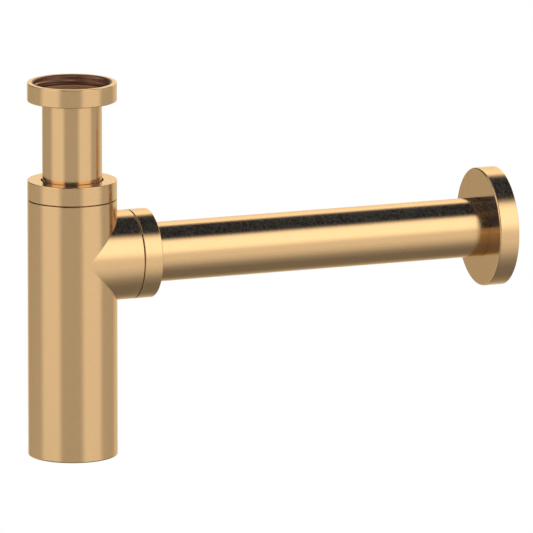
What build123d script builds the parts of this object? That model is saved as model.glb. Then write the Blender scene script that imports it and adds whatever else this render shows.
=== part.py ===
# Bottle trap for a wash basin: union nut, inlet tube, bottle with side branch, outlet tube, wall rosette.
# Frame: origin on the inlet axis at the union nut's top face, +Z up, +X along the outlet to the wall. Millimetres.
import os

from build123d import *

# Tubes
tube_radius = 16.0
tube_wall = 1.2
tube_end_edge = 0.3
slide_gap = 0.1
grip_gap = 0.05

# Compression joint, the same on the bottle's top and on its branch, measured out from its shoulder
seam = 0.5
seal_toe = 1.6
seal_heel = 4.2
seal_seat = 1.0
seal_cone = 5.1
seal_band = 1.0
seat_gap = 0.25
spigot_rim = 0.85
thread_depth = 0.7
slip_thickness = 1.0
slip_gap = 0.15
nut_roof = 2.5
nut_wall = 2.0
nut_edge = 0.45
nut_hole_gap = 0.75
nut_hole_edge = 0.3
shoulder_edge = 0.3
shoulder_collar = 3.4

# Inlet union
thread_length = 5.05
thread_lead = 0.45
thread_lead_width = 0.65
thread_relief = 0.545
collar_width = 4.6
collar_pass_gap = 0.355
collar_seat = 1.0
collar_rim_width = 1.2
collar_rim_height = 0.6
washer_thickness = 1.5
washer_gap = 0.2
washer_bore_step = 0.6
washer_side_gap = 0.1
union_slip = 0.6
union_floor = 1.65
union_wall = 3.045
union_edge = 0.5

# Lengths that show
exposed_inlet = 43.0
stub = 8.4
bottle_depth = 83.0
exposed_outlet = 191.0
outlet_entry = 5.4
outlet_tail = 5.0
water_seal = 50.0

# Bottle
bottle_wall = 1.7
branch_wall = 3.0
base_thickness = 5.0
base_edge = 0.8
floor_round = 2.0

# Clean-out plug in the base
plug_radius = 15.0
plug_gap = 0.1
plug_thread_depth = 0.7
plug_flange_width = 3.0
plug_flange = 2.0
plug_edge = 0.3
plug_end = 0.5
plug_slot = (22.0, 2.4, 1.0)
plug_ring_section = 1.4
gland_depth = 1.3
gland_side_gap = 0.15
gland_inset = 0.85
flange_gap = 0.2

# Wall rosette
rosette_width = 16.0
rosette_depth = 11.0
rosette_face = 1.6
rosette_skirt = 1.5
rosette_edge = 0.8
rosette_back_edge = 0.3
hub_width = 4.4
hub_length = 4.9
ring_section = 2.4
ring_side_gap = 0.1
ring_groove_wall = 1.3

# Radii worked out from the tube outwards
bore_radius = tube_radius - tube_wall
hole_radius = tube_radius + slide_gap
nut_hole = tube_radius + nut_hole_gap
grip_radius = tube_radius + grip_gap
slip_bore = tube_radius + slip_gap
toe_radius = tube_radius + seal_toe
heel_radius = tube_radius + seal_heel
mouth_radius = heel_radius + seat_gap
throat_radius = toe_radius + seat_gap
spigot_radius = mouth_radius + spigot_rim
nut_bore = spigot_radius + thread_depth
body_radius = nut_bore + nut_wall
collar_radius = tube_radius + collar_width
inlet_thread = collar_radius + collar_pass_gap
union_radius = inlet_thread + union_wall

# Heights in the compression joint, from its shoulder
spigot_height = seal_seat + seal_cone
slip_start = spigot_height + seal_band
roof_start = slip_start + slip_thickness
nut_end = roof_start + nut_roof

# Heights in the inlet union, down from its top face
washer_top = -(thread_length + washer_gap)
washer_bottom = washer_top - washer_thickness
collar_top = washer_bottom + collar_rim_height
collar_bottom = washer_bottom - collar_seat
union_floor_top = collar_bottom - union_slip
union_bottom = union_floor_top - union_floor

# Places of the main pieces
shoulder_z = union_bottom - exposed_inlet - nut_end
outlet_z = shoulder_z - stub - body_radius
base_z = outlet_z - body_radius - bottle_depth
floor_z = base_z + base_thickness
dip_end_z = outlet_z - bore_radius - water_seal
shoulder_x = body_radius + stub
rosette_x = shoulder_x + nut_end + exposed_outlet
outlet_end_x = rosette_x + rosette_depth + outlet_tail

top_joint = Pos(0, 0, shoulder_z)
outlet_joint = Pos(shoulder_x, 0, outlet_z) * Rot(0, 90, 0)
rosette_place = Pos(rosette_x, 0, outlet_z) * Rot(0, 90, 0)
base_place = Pos(0, 0, base_z)


def turned(*corners):
    # A lathe-turned solid about Z from its half section: each corner is radius, height and an optional rounding
    section = make_face(Polyline(*[corner[:2] for corner in corners], close=True))
    for corner in corners:
        if len(corner) == 3:
            point = section.vertices().sort_by_distance(corner[:2])[0]
            section = fillet(point, corner[2])
    return revolve(Plane.XZ * section, Axis.Z)


def sleeve(inner, outer, low, high, edge):
    # A plain ring or tube with its outer end edges rounded
    return turned((inner, low), (outer, low, edge), (outer, high, edge), (inner, high))


def inlet_union_nut():
    relief = inlet_thread + thread_relief
    return turned(
        (hole_radius, union_bottom),
        (union_radius, union_bottom, union_edge),
        (union_radius, 0, union_edge),
        (inlet_thread + thread_lead_width, 0),
        (inlet_thread, -thread_lead),
        (inlet_thread, -thread_length),
        (relief, -thread_length),
        (relief, union_floor_top),
        (hole_radius, union_floor_top),
    )


def inlet_slip_ring():
    return turned(
        (slip_bore, union_floor_top),
        (collar_radius, union_floor_top),
        (collar_radius, collar_bottom),
        (slip_bore, collar_bottom),
    )


def inlet_washer():
    inner = bore_radius + washer_bore_step
    outer = collar_radius - collar_rim_width - washer_side_gap
    return turned((inner, washer_bottom), (outer, washer_bottom), (outer, washer_top), (inner, washer_top))


def inlet_tube():
    # Collar with a washer seat on top; the lower end is the dip tube inside the bottle
    rim = collar_radius - collar_rim_width
    return turned(
        (bore_radius, dip_end_z),
        (tube_radius, dip_end_z, tube_end_edge),
        (tube_radius, collar_bottom),
        (collar_radius, collar_bottom),
        (collar_radius, collar_top),
        (rim, collar_top),
        (rim, washer_bottom),
        (bore_radius, washer_bottom),
    )


def compression_nut():
    return turned(
        (nut_bore, seam),
        (body_radius, seam, shoulder_edge),
        (body_radius, nut_end, nut_edge),
        (nut_hole, nut_end, nut_hole_edge),
        (nut_hole, roof_start),
        (nut_bore, roof_start),
    )


def slip_ring():
    return turned((slip_bore, slip_start), (heel_radius, slip_start), (heel_radius, roof_start), (slip_bore, roof_start))


def cone_seal():
    return turned(
        (grip_radius, seal_seat),
        (toe_radius, seal_seat),
        (heel_radius, spigot_height),
        (heel_radius, slip_start),
        (grip_radius, slip_start),
    )


def spigot_stem(length, end_edge):
    # Outside of a bottle or branch end: full-width stem below the shoulder, threaded spigot above it
    foot = (body_radius, -length, end_edge) if end_edge else (body_radius, -length)
    return turned(
        (0, -length),
        foot,
        (body_radius, 0, shoulder_edge),
        (spigot_radius, 0),
        (spigot_radius, spigot_height),
        (0, spigot_height),
    )


def spigot_hollow(radius, length, end_round):
    # Inside of the same end: wide bore, throat and the seal's cone seat
    foot = (radius, -length, end_round) if end_round else (radius, -length)
    return turned(
        (0, -length),
        foot,
        (radius, -shoulder_collar),
        (throat_radius, -shoulder_collar),
        (throat_radius, seal_seat),
        (mouth_radius, spigot_height),
        (0, spigot_height),
    )


def plug_hole():
    recess = plug_radius + plug_flange_width + plug_gap
    step = plug_flange + flange_gap
    thread = plug_radius + plug_thread_depth
    return turned((0, 0), (recess, 0), (recess, step), (thread, step), (thread, base_thickness), (0, base_thickness))


def bottle_body():
    barrel = top_joint * spigot_stem(shoulder_z - base_z, base_edge)
    branch = outlet_joint * spigot_stem(shoulder_x, 0)
    chamber = top_joint * spigot_hollow(body_radius - bottle_wall, shoulder_z - floor_z, floor_round)
    branch_way = outlet_joint * spigot_hollow(body_radius - branch_wall, shoulder_x, 0)
    return barrel + branch - chamber - branch_way - base_place * plug_hole()


def outlet_tube():
    start = shoulder_x - outlet_entry
    tube = sleeve(bore_radius, tube_radius, 0, outlet_end_x - start, tube_end_edge)
    return Pos(start, 0, outlet_z) * Rot(0, 90, 0) * tube


def plug_ring_radius():
    return plug_radius + gland_inset + gland_side_gap + plug_ring_section / 2


def clean_out_plug():
    flange = plug_radius + plug_flange_width
    gland_floor = plug_flange - gland_depth
    gland_half = plug_ring_section / 2 + gland_side_gap
    gland_inner = plug_ring_radius() - gland_half
    gland_outer = plug_ring_radius() + gland_half
    end = base_thickness + plug_end
    blank = turned(
        (0, 0),
        (flange, 0, plug_edge),
        (flange, plug_flange),
        (gland_outer, plug_flange),
        (gland_outer, gland_floor),
        (gland_inner, gland_floor),
        (gland_inner, plug_flange),
        (plug_radius, plug_flange),
        (plug_radius, end),
        (0, end),
    )
    slot = Box(*plug_slot, align=(Align.CENTER, Align.CENTER, Align.MIN))
    return base_place * (blank - slot)


def clean_out_o_ring():
    # Sits between the plug's gland floor and the recess in the base
    middle = plug_flange - gland_depth + (gland_depth + flange_gap) / 2
    return base_place * Pos(0, 0, middle) * Torus(plug_ring_radius(), plug_ring_section / 2)


def rosette_groove():
    # Rubber ring's groove in the hub: its start, its end and its outer radius
    start = rosette_face + ring_groove_wall
    end = start + ring_section + 2 * ring_side_gap
    return start, end, grip_radius + ring_section + ring_side_gap


def wall_rosette():
    outer = tube_radius + rosette_width
    skirt = outer - rosette_skirt
    hub = hole_radius + hub_width
    hub_end = rosette_face + hub_length
    groove_start, groove_end, groove_radius = rosette_groove()
    return rosette_place * turned(
        (hole_radius, 0),
        (outer, 0, rosette_edge),
        (outer, rosette_depth, rosette_back_edge),
        (skirt, rosette_depth),
        (skirt, rosette_face),
        (hub, rosette_face),
        (hub, hub_end),
        (hole_radius, hub_end),
        (hole_radius, groove_end),
        (groove_radius, groove_end),
        (groove_radius, groove_start),
        (hole_radius, groove_start),
    )


def rosette_seal_ring():
    groove_start, groove_end, groove_radius = rosette_groove()
    middle = (groove_start + groove_end) / 2
    return rosette_place * Pos(0, 0, middle) * Torus(grip_radius + ring_section / 2, ring_section / 2)


pieces = {
    "inlet_union_nut": inlet_union_nut(),
    "inlet_slip_ring": inlet_slip_ring(),
    "inlet_washer": inlet_washer(),
    "inlet_tube": inlet_tube(),
    "top_nut": top_joint * compression_nut(),
    "top_slip_ring": top_joint * slip_ring(),
    "top_cone_seal": top_joint * cone_seal(),
    "bottle_body": bottle_body(),
    "outlet_nut": outlet_joint * compression_nut(),
    "outlet_slip_ring": outlet_joint * slip_ring(),
    "outlet_cone_seal": outlet_joint * cone_seal(),
    "outlet_tube": outlet_tube(),
    "wall_rosette": wall_rosette(),
    "rosette_seal_ring": rosette_seal_ring(),
    "clean_out_plug": clean_out_plug(),
    "clean_out_o_ring": clean_out_o_ring(),
}

os.makedirs("parts", exist_ok=True)
for node, solid in pieces.items():
    solid.label = node
    export_step(solid, f"parts/{node}.step")
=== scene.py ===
import math

import bpy
from mathutils import Matrix, Vector


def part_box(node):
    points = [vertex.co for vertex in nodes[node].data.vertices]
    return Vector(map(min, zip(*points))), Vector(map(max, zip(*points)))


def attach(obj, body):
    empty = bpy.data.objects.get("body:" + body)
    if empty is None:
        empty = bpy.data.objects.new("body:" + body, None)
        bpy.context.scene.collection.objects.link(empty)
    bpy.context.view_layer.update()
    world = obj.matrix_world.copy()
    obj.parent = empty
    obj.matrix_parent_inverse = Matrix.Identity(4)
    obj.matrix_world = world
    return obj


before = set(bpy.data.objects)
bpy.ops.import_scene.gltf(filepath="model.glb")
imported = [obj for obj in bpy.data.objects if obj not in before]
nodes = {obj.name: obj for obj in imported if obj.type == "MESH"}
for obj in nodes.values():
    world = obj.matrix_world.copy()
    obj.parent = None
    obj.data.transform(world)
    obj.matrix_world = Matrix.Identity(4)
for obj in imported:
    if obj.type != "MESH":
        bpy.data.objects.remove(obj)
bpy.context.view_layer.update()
print("frame loaded:", len(nodes), "nodes")


# what turns about what: the inlet side about Z, the outlet side about X through the branch
outletAxisHeight = (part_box("outlet_nut")[0].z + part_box("outlet_nut")[1].z) / 2
uprightAxis = {"direction": (0, 0, 1), "through": (0, 0, 0)}
outletAxis = {"direction": (1, 0, 0), "through": (0, 0, outletAxisHeight)}

white = (1, 1, 1, 1)
millimetre = 0.001


def setInput(tree, socket, value):
    if isinstance(value, bpy.types.NodeSocket):
        tree.links.new(value, socket)
    else:
        socket.default_value = value


def setInputs(tree, node, values):
    for name, value in values.items():
        setInput(tree, node.inputs[name], value)


def addNode(tree, kind, settings=None, **inputs):
    # an input goes by its name, or by i and its number where a node's names repeat
    node = tree.nodes.new(kind)
    for name, value in (settings or {}).items():
        setattr(node, name, value)
    for name, value in inputs.items():
        key = int(name[1:]) if name[1:].isdigit() else name
        setInput(tree, node.inputs[key], value)
    return node


def newMaterial(name):
    material = bpy.data.materials.new(name)
    material.use_nodes = True
    tree = material.node_tree
    tree.nodes.clear()
    output = tree.nodes.new("ShaderNodeOutputMaterial")
    shader = tree.nodes.new("ShaderNodeBsdfPrincipled")
    tree.links.new(shader.outputs["BSDF"], output.inputs["Surface"])
    return material, tree, shader


def objectPlace(tree):
    return tree.nodes.new("ShaderNodeTexCoord").outputs["Object"]


def numberMath(tree, operation, first, second=0.0, third=0.0):
    node = addNode(tree, "ShaderNodeMath", {"operation": operation}, i0=first, i1=second, i2=third)
    return node.outputs[0]


def vectorMath(tree, operation, first, second=(0, 0, 0)):
    return addNode(tree, "ShaderNodeVectorMath", {"operation": operation}, i0=first, i1=second).outputs[0]


def vectorLength(tree, vector):
    return addNode(tree, "ShaderNodeVectorMath", {"operation": "LENGTH"}, i0=vector).outputs["Value"]


def splitVector(tree, vector):
    return addNode(tree, "ShaderNodeSeparateXYZ", Vector=vector).outputs


def mixNumbers(tree, share, first, second):
    return addNode(tree, "ShaderNodeMix", {"data_type": "FLOAT"}, i0=share, i2=first, i3=second).outputs[0]


def mixVectors(tree, share, first, second):
    return addNode(tree, "ShaderNodeMix", {"data_type": "VECTOR"}, i0=share, i4=first, i5=second).outputs[1]


def mixColours(tree, share, first, second):
    return addNode(tree, "ShaderNodeMix", {"data_type": "RGBA"}, i0=share, i6=first, i7=second).outputs[2]


def mapRange(tree, value, fromRange, toRange):
    node = addNode(tree, "ShaderNodeMapRange", Value=value)
    names = ("From Min", "From Max", "To Min", "To Max")
    setInputs(tree, node, dict(zip(names, fromRange + toRange)))
    return node.outputs["Result"]


def grey(level):
    return (level, level, level, 1)


def ramp(tree, factor, stops):
    node = addNode(tree, "ShaderNodeValToRGB", Fac=factor)
    elements = node.color_ramp.elements
    while len(elements) < len(stops):
        elements.new(0.5)  # moved to its place below
    for element, (place, level) in zip(elements, stops):
        element.position = place
        element.color = grey(level)
    return node.outputs["Color"]


# Brushed gold: fine turning lines round each piece, a sharper reflection along them than across
brushedGold = {
    "colour": (0.742, 0.480, 0.230, 1),
    "deepColour": (0.657, 0.424, 0.202, 1),
    "edgeTint": (0.87, 0.75, 0.57, 1),
    "roughness": (0.11, 0.17),
    "roughnessGrain": (0.25, 0.75),  # the grain that has the lowest and the highest roughness
    "anisotropy": 0.5,
    "anisotropyTurn": 0.25,
    "lines": {"across": 3600.0, "along": 60.0},  # noise per metre
    "streaks": {"across": 1250.0, "along": 480.0},
    "noiseDetail": 2.0,
    "noiseRoughness": 0.6,
    "bumpDistance": 0.000026,
    "scratchSheen": (0.22, 0.78),
    "scratchGrain": (0.45, 0.55),  # the streaks that have the least and the most sheen
    "sheenRoughness": 0.9,
    "sheenIndex": 1.9,
    "haze": 0.006,
    "hazeRoughness": 1.0,
}
# the union nut's inside is rougher, as machined; its darker brown colour is painted shade for the dark
# inside the mouth, and it is darkest on its chamfer, a painted shadow line round the mouth's edge
unionBore = {
    "radius": 0.02165,
    "colour": (0.43, 0.232, 0.143, 1),
    "roughness": 0.3,
    "chamferFrom": 0.0210,
    "chamferShadowColour": (0.15, 0.078, 0.045, 1),
}
# the tubes are as drawn inside
tubeBore = {
    "radius": 0.0154,
    "colour": (0.70, 0.42, 0.18, 1),
    "roughness": 0.45,
}


def fromAxis(tree, place, axis):
    return vectorMath(tree, "SUBTRACT", place, axis["through"])


def axisDistance(tree, place, axis):
    flat = tuple(1 - part for part in axis["direction"])
    return vectorLength(tree, vectorMath(tree, "MULTIPLY", fromAxis(tree, place, axis), flat))


def grainCoordinates(tree, place, axis, grain):
    # stretched round the axis, so that noise becomes short turning lines, and rings on the end faces
    direction = axis["direction"]
    scale = tuple(grain["across"] if part else grain["along"] for part in direction)
    radius = axisDistance(tree, place, axis)
    rings = addNode(tree, "ShaderNodeVectorMath", {"operation": "SCALE"}, Scale=radius)
    rings.inputs[0].default_value = tuple(part * grain["across"] for part in direction)
    return vectorMath(tree, "ADD", vectorMath(tree, "MULTIPLY", place, scale), rings.outputs[0])


def turningDirection(tree, place, axis):
    return vectorMath(tree, "CROSS_PRODUCT", axis["direction"], fromAxis(tree, place, axis))


def branchShare(tree, place):
    # 1 on the side branch and 0 on the upright bottle
    # they meet on the mitre, where x equals the height off the branch's axis
    parts = splitVector(tree, place)
    rise = numberMath(tree, "ABSOLUTE", numberMath(tree, "SUBTRACT", parts["Z"], outletAxisHeight))
    return numberMath(tree, "GREATER_THAN", parts["X"], rise)


def brushGrain(tree, place, axes, share, grain):
    coordinates = grainCoordinates(tree, place, axes[0], grain)
    if share:
        coordinates = mixVectors(tree, share, coordinates, grainCoordinates(tree, place, axes[1], grain))
    noise = addNode(tree, "ShaderNodeTexNoise", Vector=coordinates, Scale=1.0,
                    Detail=brushedGold["noiseDetail"], Roughness=brushedGold["noiseRoughness"])
    return noise.outputs["Fac"]


def worldTangent(tree, turning):
    toWorld = addNode(tree, "ShaderNodeVectorTransform", {"vector_type": "VECTOR"}, Vector=turning)
    toWorld.convert_from = "OBJECT"
    toWorld.convert_to = "WORLD"
    return vectorMath(tree, "NORMALIZE", toWorld.outputs["Vector"])


def finishBore(tree, place, axis, bore, colour, roughness):
    reach = axisDistance(tree, place, axis)
    inside = numberMath(tree, "LESS_THAN", reach, bore["radius"])
    roughness = mixNumbers(tree, inside, roughness, bore["roughness"])
    # inside the bore the colour changes to the bore's own; for the union nut this darker brown is painted
    # shade
    colour = mixColours(tree, inside, colour, bore["colour"])
    if "chamferFrom" in bore:
        # the union nut's chamfer ring gets a near-black colour, a painted shadow line at the edge of its
        # mouth
        past = numberMath(tree, "GREATER_THAN", reach, bore["chamferFrom"])
        chamfer = numberMath(tree, "MULTIPLY", inside, past)
        colour = mixColours(tree, chamfer, colour, bore["chamferShadowColour"])
    return colour, roughness


def makeBrushedGold(name, axes, bore=None):
    material, tree, shader = newMaterial(name)
    place = objectPlace(tree)
    turning = turningDirection(tree, place, axes[0])
    share = None
    if len(axes) == 2:
        share = branchShare(tree, place)
        turning = mixVectors(tree, share, turning, turningDirection(tree, place, axes[1]))
    lines = brushGrain(tree, place, axes, share, brushedGold["lines"])
    streaks = brushGrain(tree, place, axes, share, brushedGold["streaks"])
    grain = numberMath(tree, "MULTIPLY", numberMath(tree, "ADD", lines, streaks), 0.5)  # their mean
    colour = mixColours(tree, grain, brushedGold["deepColour"], brushedGold["colour"])
    roughness = mapRange(tree, grain, brushedGold["roughnessGrain"], brushedGold["roughness"])
    if bore:
        colour, roughness = finishBore(tree, place, axes[0], bore, colour, roughness)
    bump = addNode(tree, "ShaderNodeBump", Height=grain, Strength=1.0, Distance=brushedGold["bumpDistance"])
    # deeper scratches scatter a little white light, which shows in the dark reflections
    scratches = mapRange(tree, streaks, brushedGold["scratchGrain"], brushedGold["scratchSheen"])
    setInputs(tree, shader, {
        "Base Color": colour,
        "Metallic": 1.0,
        "Roughness": roughness,
        "Normal": bump.outputs["Normal"],
        "Specular Tint": brushedGold["edgeTint"],
        "Anisotropic": brushedGold["anisotropy"],
        "Anisotropic Rotation": brushedGold["anisotropyTurn"],
        "Tangent": worldTangent(tree, turning),
        "Coat Weight": scratches,
        "Coat Roughness": brushedGold["sheenRoughness"],
        "Coat IOR": brushedGold["sheenIndex"],
        "Sheen Weight": brushedGold["haze"],
        "Sheen Roughness": brushedGold["hazeRoughness"],
    })
    return material


# Seals, washer and slip rings: plain moulded stuff with a fine speckle
sealRubber = {
    "colour": (0.018, 0.018, 0.019, 1),
    "paleColour": (0.035, 0.035, 0.036, 1),
    "grainScale": 900.0,
    "roughness": 0.62,
    "bumpDistance": 0.00003,
}
washerFibre = {
    "colour": (0.34, 0.165, 0.062, 1),
    "paleColour": (0.52, 0.265, 0.105, 1),
    "grainScale": 1400.0,
    "roughness": 0.7,
    "bumpDistance": 0.00003,
}
slipPlastic = {
    "colour": (0.72, 0.72, 0.69, 1),
    "paleColour": (0.80, 0.80, 0.78, 1),
    "grainScale": 260.0,
    "roughness": 0.42,
    "bumpDistance": 0.00002,
}
mouldedGrain = {"detail": 4.0, "bumpStrength": 0.6}


def makeMoulded(name, look):
    material, tree, shader = newMaterial(name)
    noise = addNode(tree, "ShaderNodeTexNoise", Vector=objectPlace(tree), Scale=look["grainScale"],
                    Detail=mouldedGrain["detail"])
    grain = noise.outputs["Fac"]
    bump = addNode(tree, "ShaderNodeBump", Height=grain, Strength=mouldedGrain["bumpStrength"],
                   Distance=look["bumpDistance"])
    setInputs(tree, shader, {
        "Base Color": mixColours(tree, grain, look["colour"], look["paleColour"]),
        "Roughness": look["roughness"],
        "Normal": bump.outputs["Normal"],
    })
    return material


goldUpright = makeBrushedGold("brushedGoldUpright", [uprightAxis])
goldUnion = makeBrushedGold("brushedGoldUnion", [uprightAxis], unionBore)
goldInletTube = makeBrushedGold("brushedGoldInletTube", [uprightAxis], tubeBore)
goldOutlet = makeBrushedGold("brushedGoldOutlet", [outletAxis])
goldOutletTube = makeBrushedGold("brushedGoldOutletTube", [outletAxis], tubeBore)
goldBottle = makeBrushedGold("brushedGoldBottle", [uprightAxis, outletAxis])
rubber = makeMoulded("sealRubber", sealRubber)
fibre = makeMoulded("washerFibre", washerFibre)
plastic = makeMoulded("slipPlastic", slipPlastic)

finishes = {
    "inlet_union_nut": goldUnion,
    "inlet_tube": goldInletTube,
    "top_nut": goldUpright,
    "clean_out_plug": goldUpright,
    "bottle_body": goldBottle,
    "outlet_nut": goldOutlet,
    "outlet_tube": goldOutletTube,
    "wall_rosette": goldOutlet,
    "inlet_washer": fibre,
    "top_cone_seal": rubber,
    "outlet_cone_seal": rubber,
    "rosette_seal_ring": rubber,
    "clean_out_o_ring": rubber,
    "inlet_slip_ring": plastic,
    "top_slip_ring": plastic,
    "outlet_slip_ring": plastic,
}
for node, finish in finishes.items():
    nodes[node].data.materials.clear()
    nodes[node].data.materials.append(finish)
print("finishes on", len(finishes), "nodes")


# Screw threads, in millimetres: one helix tree, swept once for each nut, spigot, plug and hole
mouthForm = {"height": 0.5, "pitch": 2.309, "foot": 1.7, "crest": 0.6}
jointForm = {"height": 0.62, "pitch": 1.5, "foot": 0.95, "crest": 0.25}
# each starts at an offset from the low or the high end of a CAD node, and stands outward (1) or inward (-1)
threads = {
    "unionThread": {"body": "union_nut", "finish": goldUnion, "form": mouthForm, "side": -1, "along": "Z",
                    "from": ("inlet_union_nut", "high"), "offset": -4.1, "radius": 20.955, "turns": 1.25},
    "topSpigotThread": {"body": "bottle", "finish": goldUpright, "form": jointForm, "side": 1, "along": "Z",
                        "from": ("bottle_body", "high"), "offset": -4.9, "radius": 21.3, "turns": 2.8},
    "topNutThread": {"body": "top_nut", "finish": goldUpright, "form": jointForm, "side": -1, "along": "Z",
                     "from": ("top_nut", "low"), "offset": 1.45, "radius": 22.0, "turns": 3.0},
    "branchThread": {"body": "bottle", "finish": goldOutlet, "form": jointForm, "side": 1, "along": "X",
                     "from": ("bottle_body", "high"), "offset": -4.9, "radius": 21.3, "turns": 2.8},
    "outletNutThread": {"body": "outlet_nut", "finish": goldOutlet, "form": jointForm, "side": -1,
                        "along": "X", "from": ("outlet_nut", "low"), "offset": 1.45, "radius": 22.0,
                        "turns": 3.0},
    "plugThread": {"body": "plug", "finish": goldUpright, "form": jointForm, "side": 1, "along": "Z",
                   "from": ("clean_out_plug", "high"), "offset": -2.85, "radius": 15.0, "turns": 1.5},
    "plugHoleThread": {"body": "bottle", "finish": goldUpright, "form": jointForm, "side": -1, "along": "Z",
                       "from": ("bottle_body", "low"), "offset": 3.4, "radius": 15.7, "turns": 0.75},
}
threadHelix = {
    "segments": 72,
    "sink": 0.05,  # share of the height that stands in the wall
    "runIn": 6.0,  # how much of the full size it gains in a turn, from each end
    "endSize": 0.08,
}
threadSockets = {
    "Radius": "NodeSocketFloat",
    "Thread Height": "NodeSocketFloat",
    "Pitch": "NodeSocketFloat",
    "Turns": "NodeSocketFloat",
    "Foot": "NodeSocketFloat",
    "Crest": "NodeSocketFloat",
    "Start": "NodeSocketVector",
    "Tilt": "NodeSocketRotation",
    "Material": "NodeSocketMaterial",
}


def threadSection(tree, given):
    # a flat-topped ridge: its foot sunk in the wall, its crest at the thread's height
    section = addNode(tree, "GeometryNodeCurvePrimitiveQuadrilateral", {"mode": "POINTS"})
    foot = numberMath(tree, "MULTIPLY", given["Thread Height"], -threadHelix["sink"])
    crest = given["Thread Height"]
    corners = ((foot, given["Foot"], -0.5), (crest, given["Crest"], -0.5),
               (crest, given["Crest"], 0.5), (foot, given["Foot"], 0.5))
    for number, (outward, width, side) in enumerate(corners, 1):
        point = addNode(tree, "ShaderNodeCombineXYZ", X=outward, Y=numberMath(tree, "MULTIPLY", width, side))
        setInput(tree, section.inputs["Point " + str(number)], point.outputs["Vector"])
    edged = addNode(tree, "GeometryNodeCurveSplineType", {"spline_type": "BEZIER"},
                    Curve=section.outputs["Curve"])
    return edged.outputs["Curve"]


def threadSize(tree, turns):
    # the thread runs in and out over a short stretch at each end
    along = tree.nodes.new("GeometryNodeSplineParameter").outputs["Factor"]
    toEnd = numberMath(tree, "MINIMUM", along, numberMath(tree, "SUBTRACT", 1.0, along))
    turnsToEnd = numberMath(tree, "MULTIPLY", toEnd, turns)
    grown = numberMath(tree, "MULTIPLY", turnsToEnd, threadHelix["runIn"])
    return numberMath(tree, "MINIMUM", numberMath(tree, "ADD", grown, threadHelix["endSize"]), 1.0)


def buildThreadTree():
    tree = bpy.data.node_groups.new("helicalThread", "GeometryNodeTree")
    tree.interface.new_socket("Geometry", in_out="OUTPUT", socket_type="NodeSocketGeometry")
    identifiers = {}
    for name, kind in threadSockets.items():
        identifiers[name] = tree.interface.new_socket(name, in_out="INPUT", socket_type=kind).identifier
    given = tree.nodes.new("NodeGroupInput").outputs
    path = tree.nodes.new("GeometryNodeCurveSpiral")
    setInputs(tree, path, {
        "Resolution": threadHelix["segments"],
        "Rotations": given["Turns"],
        "Start Radius": given["Radius"],
        "End Radius": given["Radius"],
        "Height": numberMath(tree, "MULTIPLY", given["Pitch"], given["Turns"]),
        "Reverse": True,
    })
    upright = addNode(tree, "GeometryNodeSetCurveNormal", {"mode": "Z_UP"}, Curve=path.outputs["Curve"])
    ridge = tree.nodes.new("GeometryNodeCurveToMesh")
    setInputs(tree, ridge, {
        "Curve": upright.outputs["Curve"],
        "Profile Curve": threadSection(tree, given),
        "Scale": threadSize(tree, given["Turns"]),
        "Fill Caps": True,
    })
    placed = addNode(tree, "GeometryNodeTransform", Geometry=ridge.outputs["Mesh"],
                     Translation=given["Start"], Rotation=given["Tilt"])
    smooth = addNode(tree, "GeometryNodeSetShadeSmooth", Geometry=placed.outputs["Geometry"])
    real = addNode(tree, "GeometryNodeRealizeInstances", Geometry=smooth.outputs["Geometry"])
    finish = addNode(tree, "GeometryNodeSetMaterial", Geometry=real.outputs["Geometry"],
                     Material=given["Material"])
    output = tree.nodes.new("NodeGroupOutput")
    tree.links.new(finish.outputs["Geometry"], output.inputs["Geometry"])
    return tree, identifiers


def threadPlace(plan):
    node, end = plan["from"]
    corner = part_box(node)[0 if end == "low" else 1]
    offset = plan["offset"] * millimetre
    if plan["along"] == "X":
        return (corner.x + offset, 0.0, outletAxisHeight), (0.0, math.pi / 2, 0.0)
    return (0.0, 0.0, corner.z + offset), (0.0, 0.0, 0.0)


def buildThread(name, plan, tree, identifiers):
    carrier = bpy.data.objects.new(name + "Carrier", bpy.data.meshes.new(name + "Carrier"))
    bpy.context.scene.collection.objects.link(carrier)
    modifier = carrier.modifiers.new("helicalThread", "NODES")
    modifier.node_group = tree
    form = plan["form"]
    start, tilt = threadPlace(plan)
    values = {
        "Radius": plan["radius"] * millimetre,
        "Thread Height": plan["side"] * form["height"] * millimetre,
        "Pitch": form["pitch"] * millimetre,
        "Turns": plan["turns"],
        "Foot": form["foot"] * millimetre,
        "Crest": form["crest"] * millimetre,
        "Start": start,
        "Tilt": tilt,
        "Material": plan["finish"],
    }
    for key, value in values.items():
        modifier[identifiers[key]] = value
    bpy.context.view_layer.update()
    evaluated = carrier.evaluated_get(bpy.context.evaluated_depsgraph_get())
    mesh = bpy.data.meshes.new_from_object(evaluated)
    mesh.name = name
    bpy.data.objects.remove(carrier)
    piece = bpy.data.objects.new(name, mesh)
    bpy.context.scene.collection.objects.link(piece)
    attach(piece, plan["body"])
    return piece


threadTree, threadInputs = buildThreadTree()
for threadName, threadPlan in threads.items():
    thread = buildThread(threadName, threadPlan, threadTree, threadInputs)
    print(threadName, len(thread.data.polygons), "faces")


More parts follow.
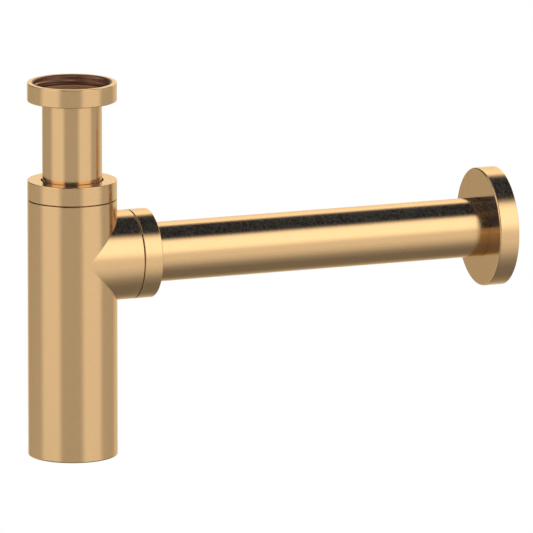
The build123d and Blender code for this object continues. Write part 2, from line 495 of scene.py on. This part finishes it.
# Studio: light walls left, right and behind, a dark gap in front, more light high up between the walls,
# and a dark ceiling with a strip of light across it
# bearings are in degrees from the front, heights in degrees from level
studio = {
    "level": 1.75,
    "facing": 111.213,
    "gap": {
        "heights": [(-90, 0.26), (-60, 0.32), (-40, 0.5), (-18, 0.635), (-10, 0.59), (-4, 0.56), (1, 0.45),
                    (6, 0.08), (9, 0.006), (90, 0.005)],
    },
    "sideWalls": {
        "bearings": [(-92, 0), (-76, 1), (-37, 1), (-24, 0), (20, 0), (33, 1), (72, 1), (86, 0)],
        "heights": [(-90, 0.26), (-65, 0.30), (-50, 0.55), (-35, 0.82), (-18, 1.0), (-4, 1.05), (6, 1.45),
                    (14, 1.75), (37, 1.75), (44, 1.5), (49, 1.0), (53, 0.4), (56, 0.1), (59, 0.005),
                    (90, 0.005)],
    },
    "backWall": {
        "bearings": [(-180, 1), (-160, 1), (-150, 0), (126, 0), (142, 1), (180, 1)],
        "heights": [(-90, 0.26), (-65, 0.30), (-50, 0.55), (-30, 0.8), (-5, 1.0), (4, 1.2), (14, 1.3),
                    (28, 1.5), (43, 1.6), (49, 0.7), (54, 0.08), (57, 0.005), (90, 0.005)],
    },
    "highWalls": {
        "level": 0.85,
        "bearings": [(-121, 0), (-109, 1), (-80, 1), (-70, 0), (68, 0), (78, 1), (118, 1), (128, 0)],
        "heights": [(9, 0), (20, 1), (46, 1), (56, 0)],
    },
    "ceilingStrip": {
        "level": 0.75,
        "halfWidth": [(0.11, 1), (0.2, 0)],
        "heights": [(46, 0), (60, 1)],
    },
}


def bearingShare(tree, direction):
    # the way round from the front, as a share of the full turn with the front at a half
    turned = addNode(tree, "ShaderNodeVectorRotate", {"rotation_type": "Z_AXIS"}, Vector=direction,
                     Angle=math.radians(studio["facing"]))
    parts = splitVector(tree, turned.outputs["Vector"])
    bearing = numberMath(tree, "ARCTAN2", parts["Y"], parts["X"])
    return numberMath(tree, "MULTIPLY_ADD", bearing, 0.5 / math.pi, 0.5)


def heightShare(tree, direction):
    # from straight down to straight up, with level at a half
    height = numberMath(tree, "ARCSINE", splitVector(tree, direction)["Z"])
    return numberMath(tree, "MULTIPLY_ADD", height, 1 / math.pi, 0.5)


def bearingStops(stops):
    return [(0.5 + angle / 360, value) for angle, value in stops]


def heightStops(stops, level=1.0):
    return [(0.5 + angle / 180, value / level) for angle, value in stops]


def studioShade(tree, direction):
    level = studio["level"]
    bearing = bearingShare(tree, direction)
    height = heightShare(tree, direction)
    shade = ramp(tree, height, heightStops(studio["gap"]["heights"], level))
    for wall in (studio["sideWalls"], studio["backWall"]):
        share = ramp(tree, bearing, bearingStops(wall["bearings"]))
        shade = mixColours(tree, share, shade, ramp(tree, height, heightStops(wall["heights"], level)))
    # for the upper sides, seen from behind and from above
    high = studio["highWalls"]
    strip = studio["ceilingStrip"]
    sideways = numberMath(tree, "ABSOLUTE", splitVector(tree, direction)["X"])
    highShare = ramp(tree, bearing, bearingStops(high["bearings"]))
    stripShare = ramp(tree, sideways, strip["halfWidth"])
    for lamp, share in ((high, highShare), (strip, stripShare)):
        share = numberMath(tree, "MULTIPLY", share, ramp(tree, height, heightStops(lamp["heights"])))
        shade = mixColours(tree, share, shade, grey(lamp["level"] / level))
    return shade


def buildStudio():
    world = bpy.data.worlds.new("studio")
    bpy.context.scene.world = world
    world.use_nodes = True
    tree = world.node_tree
    tree.nodes.clear()
    direction = tree.nodes.new("ShaderNodeTexCoord").outputs["Generated"]
    shade = studioShade(tree, direction)
    light = addNode(tree, "ShaderNodeBackground", Color=shade, Strength=studio["level"])
    backdrop = addNode(tree, "ShaderNodeBackground", Color=white, Strength=1.0)
    path = tree.nodes.new("ShaderNodeLightPath").outputs
    choose = addNode(tree, "ShaderNodeMixShader", Fac=path["Is Camera Ray"], i1=light.outputs[0],
                     i2=backdrop.outputs[0])
    output = tree.nodes.new("ShaderNodeOutputWorld")
    tree.links.new(choose.outputs[0], output.inputs["Surface"])


# Floor: a round sheet that keeps the shadow, pale to the eye and graded to white in the metal
floorPlan = {
    "drop": 0.45,
    "centre": (0.1, 0.0),
    "radius": 1.7,
    "rings": 6,
    "sides": 96,
    "colour": (0.372, 0.368, 0.36, 1),
    "roughness": 0.8,
    "seenWhite": [(0.1, 0.75), (0.6, 1.0)],
    "mirroredWhite": [(0.092, 0.0), (0.206, 0.18), (0.337, 0.52), (0.511, 0.82), (0.845, 1.0)],
    "stretch": 0.3,
    "frontShade": [(-44, 1.0), (-32, 0.35), (24, 0.35), (32, 1.0)],
}


def makeFloorMesh():
    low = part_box("bottle_body")[0].z - floorPlan["drop"]
    centreX, centreY = floorPlan["centre"]
    sides = floorPlan["sides"]
    points = [(centreX, centreY, low)]
    for ring in range(1, floorPlan["rings"] + 1):
        radius = floorPlan["radius"] * ring / floorPlan["rings"]
        for side in range(sides):
            turn = 2 * math.pi * side / sides
            points.append((centreX + radius * math.cos(turn), centreY + radius * math.sin(turn), low))
    faces = [(0, 1 + side, 1 + (side + 1) % sides) for side in range(sides)]
    for ring in range(floorPlan["rings"] - 1):
        inner = 1 + ring * sides
        outer = inner + sides
        for side in range(sides):
            following = (side + 1) % sides
            faces.append((inner + side, outer + side, outer + following, inner + following))
    mesh = bpy.data.meshes.new("floor")
    mesh.from_pydata(points, [], faces)
    return mesh


def mirroredWhite(tree, flat):
    # drawn out along the outlet, so that the tube's underside is even from end to end
    stretched = vectorMath(tree, "MULTIPLY", flat, (floorPlan["stretch"], 1, 0))
    span = numberMath(tree, "DIVIDE", vectorLength(tree, stretched), floorPlan["radius"])
    # in front, where the studio has its gap, the floor is less bright in the metal
    front = ramp(tree, bearingShare(tree, flat), bearingStops(floorPlan["frontShade"]))
    return numberMath(tree, "MULTIPLY", ramp(tree, span, floorPlan["mirroredWhite"]), front)


def makePaleFloor():
    material, tree, shader = newMaterial("paleFloor")
    setInputs(tree, shader, {"Base Color": floorPlan["colour"], "Roughness": floorPlan["roughness"]})
    path = tree.nodes.new("ShaderNodeLightPath").outputs
    fromCentre = vectorMath(tree, "SUBTRACT", objectPlace(tree), floorPlan["centre"] + (0,))
    flat = vectorMath(tree, "MULTIPLY", fromCentre, (1, 1, 0))
    reach = numberMath(tree, "DIVIDE", vectorLength(tree, flat), floorPlan["radius"])
    seenWhite = ramp(tree, reach, floorPlan["seenWhite"])
    seen = numberMath(tree, "MULTIPLY", seenWhite, path["Is Camera Ray"])
    mirrored = numberMath(tree, "MULTIPLY", mirroredWhite(tree, flat), path["Is Glossy Ray"])
    glow = addNode(tree, "ShaderNodeEmission", Color=white, Strength=1.0)
    lit = addNode(tree, "ShaderNodeMixShader", Fac=numberMath(tree, "ADD", seen, mirrored),
                  i1=shader.outputs["BSDF"], i2=glow.outputs[0])
    # seen from below, the floor lets the eye through to the foot of the bottle
    below = tree.nodes.new("ShaderNodeNewGeometry").outputs["Backfacing"]
    through = numberMath(tree, "MULTIPLY", below, path["Is Camera Ray"])
    clear = addNode(tree, "ShaderNodeBsdfTransparent", Color=white)
    surface = addNode(tree, "ShaderNodeMixShader", Fac=through, i1=lit.outputs[0], i2=clear.outputs[0])
    output = tree.get_output_node("ALL")
    tree.links.new(surface.outputs[0], output.inputs["Surface"])
    return material


def buildFloor():
    mesh = makeFloorMesh()
    mesh.materials.append(makePaleFloor())
    floor = bpy.data.objects.new("floor", mesh)
    bpy.context.scene.collection.objects.link(floor)


# Camera: a long lens far off, to the left of the front and a little above
cameraPlan = {
    "azimuth": -21.243,
    "elevation": 11.723,
    "distance": 7.11801,
    "aim": (0.089397, -0.056211, -0.096336),
    "lens": 902.43,
    "sensorWidth": 36.0,
    "clipEnd": 50.0,
}


def buildCamera():
    turn = math.radians(cameraPlan["azimuth"])
    rise = math.radians(cameraPlan["elevation"])
    back = Vector((math.sin(turn) * math.cos(rise), -math.cos(turn) * math.cos(rise), math.sin(rise)))
    right = Vector((math.cos(turn), math.sin(turn), 0))
    up = back.cross(right)
    spot = Vector(cameraPlan["aim"]) + back * cameraPlan["distance"]
    data = bpy.data.cameras.new("camera")
    data.lens = cameraPlan["lens"]
    data.sensor_width = cameraPlan["sensorWidth"]
    data.clip_end = cameraPlan["clipEnd"]
    camera = bpy.data.objects.new("camera", data)
    camera.matrix_world = Matrix((
        (right.x, up.x, back.x, spot.x),
        (right.y, up.y, back.y, spot.y),
        (right.z, up.z, back.z, spot.z),
        (0, 0, 0, 1),
    ))
    bpy.context.scene.collection.objects.link(camera)
    bpy.context.scene.camera = camera


buildStudio()
buildFloor()
buildCamera()
bpy.context.scene.view_settings.view_transform = "Standard"
print("studio, floor and camera set")
